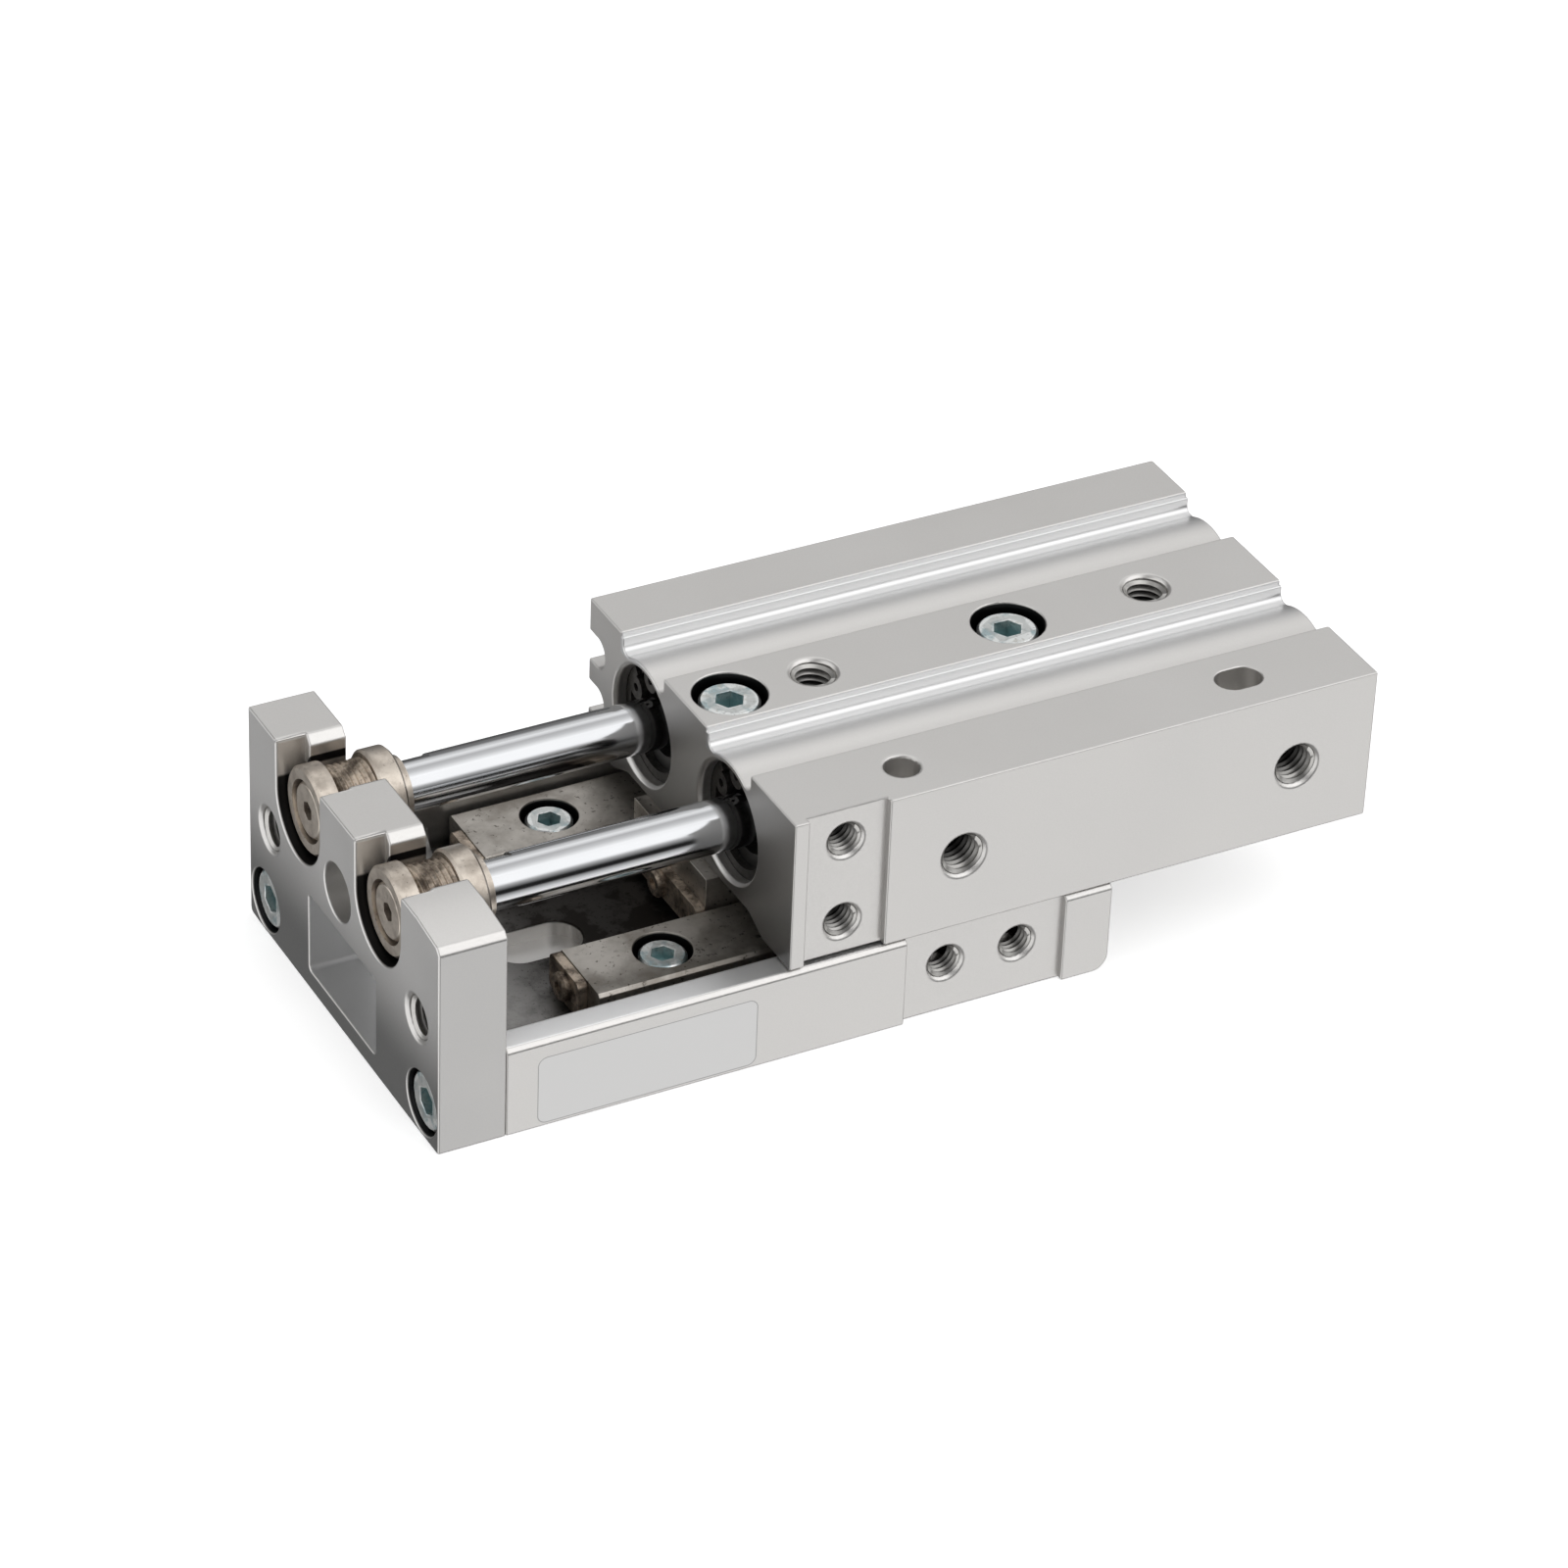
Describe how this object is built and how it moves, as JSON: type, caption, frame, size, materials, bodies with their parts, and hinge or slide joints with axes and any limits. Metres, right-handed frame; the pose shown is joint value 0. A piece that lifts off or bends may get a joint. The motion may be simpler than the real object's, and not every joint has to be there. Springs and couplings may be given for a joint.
{
  "type": "slide table cylinder",
  "caption": "Twin-rod pneumatic slide table on a crossed roller guide, shown table face down with the table run out.",
  "frame": {"origin": "centre of the overall box at the table face, which is the underside here", "axes": "+X along the stroke from the end plate to the rear of the cylinder body, +Y to the side without ports, +Z from the table face to the body's mounting face"},
  "size_m": [0.1148, 0.05, 0.0306],
  "materials": {
    "anodised_aluminium": "fine satin anodised",
    "turned_aluminium": "turned, clear anodised",
    "guide_steel": "ground and hardened, lightly oiled",
    "roller_steel": "ground and polished",
    "stopper_steel": "stamped, oil stained",
    "zinc_screw": "bright zinc plated, slightly blue",
    "nickel_plate": "warm nickel plated, turned",
    "chrome_rod": "hard chrome, polished",
    "spring_steel": "dark phosphated spring steel",
    "black_rubber": "moulded nitrile rubber",
    "ring_magnet": "sintered magnet",
    "cage_brass": "thin rolled strip"
  },
  "bodies": {
    "cylinder": {"cylinder_body": "anodised_aluminium", "rod_cover_near": "turned_aluminium", "rod_cover_far": "turned_aluminium", "rod_seal_near": "black_rubber", "rod_seal_far": "black_rubber", "cover_rings": "black_rubber", "head_cap_near": "turned_aluminium", "head_cap_far": "turned_aluminium", "front_retaining_rings": "spring_steel", "rear_retaining_rings": "spring_steel", "stop_cushions": "black_rubber", "guide_block": "guide_steel", "guide_block_screws": "zinc_screw", "block_stoppers": "stopper_steel", "block_stopper_screws": "zinc_screw"},
    "table": {"slide_table": "anodised_aluminium", "end_plate": "anodised_aluminium", "end_plate_screws": "zinc_screw", "rail_near": "guide_steel", "rail_far": "guide_steel", "rail_screws": "zinc_screw", "rail_stoppers": "stopper_steel", "rail_stopper_screws": "zinc_screw", "floating_bushing_near": "nickel_plate", "floating_bushing_far": "nickel_plate", "bushing_collar_near": "nickel_plate", "bushing_collar_far": "nickel_plate", "rod_end_screw_near": "nickel_plate", "rod_end_screw_far": "nickel_plate", "piston_rod_near": "chrome_rod", "piston_rod_far": "chrome_rod", "piston_near": "turned_aluminium", "piston_far": "turned_aluminium", "piston_seal_near": "black_rubber", "piston_seal_far": "black_rubber", "piston_magnets": "ring_magnet", "piston_screws": "zinc_screw"},
    "near_cage": {"roller_cage_near": "cage_brass", "rollers_near": "roller_steel"},
    "far_cage": {"roller_cage_far": "cage_brass", "rollers_far": "roller_steel"}
  },
  "joints": [
    {"name": "table_slide", "type": "slide", "parent": "cylinder", "child": "table", "axis": [1, 0, 0], "range_m": [0, 0.03]},
    {"name": "near_cage_slide", "type": "slide", "parent": "cylinder", "child": "near_cage", "axis": [1, 0, 0], "range_m": [0, 0.015]},
    {"name": "far_cage_slide", "type": "slide", "parent": "cylinder", "child": "far_cage", "axis": [1, 0, 0], "range_m": [0, 0.015]}
  ],
  "couplings": [
    {"joint": "near_cage_slide", "follows": "table_slide", "ratio": 0.5},
    {"joint": "far_cage_slide", "follows": "table_slide", "ratio": 0.5}
  ]
}
